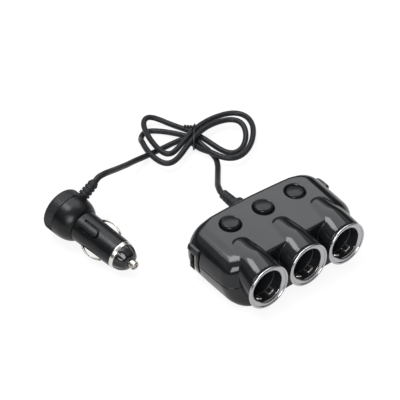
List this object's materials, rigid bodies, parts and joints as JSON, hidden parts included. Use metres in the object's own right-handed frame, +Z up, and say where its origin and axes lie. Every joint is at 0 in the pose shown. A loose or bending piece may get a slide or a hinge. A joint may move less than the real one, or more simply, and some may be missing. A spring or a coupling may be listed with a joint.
{
  "type": "car power socket splitter",
  "caption": "Low black hub with a row of round power sockets, push buttons on its deck, a charging port on each side and a tied lead to a fused plug.",
  "frame": {"origin": "on the table, below the middle of the hub's bounding box, cord and plug left out", "axes": "+X along the row of sockets, to the right for someone who stands on the sockets' side and looks towards the rear; +Y from the sockets to the rear wall, where the lead leaves; +Z up"},
  "size_m": [0.1875, 0.2031, 0.0366],
  "materials": {
    "hub_plastic": "gloss",
    "bezel_plastic": "satin",
    "liner_plastic": "satin",
    "button_plastic": "gloss",
    "ring_metal": "satin",
    "port_metal": "bright",
    "port_plastic": "matte",
    "contact_metal": "bright",
    "screw_steel": "satin",
    "board": "matte",
    "boot_rubber": "satin",
    "cord_rubber": "satin",
    "tie_plastic": "satin",
    "plug_plastic": "satin",
    "nose_plastic": "gloss",
    "fuse_glass": "clear"
  },
  "bodies": {
    "hub": {"top_shell": "hub_plastic", "bottom_shell": "hub_plastic", "socket_liner_left": "liner_plastic", "socket_liner_middle": "liner_plastic", "socket_liner_right": "liner_plastic", "trim_ring_left": "ring_metal", "trim_ring_middle": "ring_metal", "trim_ring_right": "ring_metal", "center_contact_left": "contact_metal", "center_contact_middle": "contact_metal", "center_contact_right": "contact_metal", "side_contacts_left": "contact_metal", "side_contacts_middle": "contact_metal", "side_contacts_right": "contact_metal", "switch_left": "liner_plastic", "switch_middle": "liner_plastic", "switch_right": "liner_plastic", "usb_bezel_left": "bezel_plastic", "usb_bezel_right": "bezel_plastic", "usb_shell_left": "port_metal", "usb_shell_right": "port_metal", "usb_tongue_left": "port_plastic", "usb_tongue_right": "port_plastic", "circuit_board": "board", "shell_screws": "screw_steel", "hub_cord_boot": "boot_rubber", "cord_lead_hub": "cord_rubber", "cord_bundle": "cord_rubber", "cord_lead_plug": "cord_rubber", "cord_tie": "tie_plastic", "plug_cap": "plug_plastic", "plug_head": "plug_plastic", "plug_barrel": "plug_plastic", "plug_boot": "boot_rubber", "plug_collar": "ring_metal", "plug_nose": "nose_plastic"},
    "button_left_body": {"button_left": "button_plastic"},
    "button_middle_body": {"button_middle": "button_plastic"},
    "button_right_body": {"button_right": "button_plastic"},
    "tip_body": {"tip_pin": "contact_metal", "plug_fuse": "fuse_glass", "tip_spring": "contact_metal"},
    "spring_upper_body": {"plug_side_spring_upper": "contact_metal"},
    "spring_lower_body": {"plug_side_spring_lower": "contact_metal"}
  },
  "joints": [
    {"name": "button_left_press", "type": "slide", "parent": "hub", "child": "button_left_body", "axis": [0, 0, -1], "range_m": [0, 0.003], "stiffness_N_per_m": 150},
    {"name": "button_middle_press", "type": "slide", "parent": "hub", "child": "button_middle_body", "axis": [0, 0, -1], "range_m": [0, 0.003], "stiffness_N_per_m": 150},
    {"name": "button_right_press", "type": "slide", "parent": "hub", "child": "button_right_body", "axis": [0, 0, -1], "range_m": [-0.0018, 0.0012], "stiffness_N_per_m": 150},
    {"name": "tip_slide", "type": "slide", "parent": "hub", "child": "tip_body", "axis": [-0.1998, 0.9733, 0.1132], "range_m": [0, 0.0025], "stiffness_N_per_m": 600},
    {"name": "spring_upper_press", "type": "slide", "parent": "hub", "child": "spring_upper_body", "axis": [-0.8428, -0.1118, -0.5265], "range_m": [0, 0.0015], "stiffness_N_per_m": 150},
    {"name": "spring_lower_press", "type": "slide", "parent": "hub", "child": "spring_lower_body", "axis": [0.8428, 0.1118, 0.5265], "range_m": [0, 0.0015], "stiffness_N_per_m": 150}
  ]
}
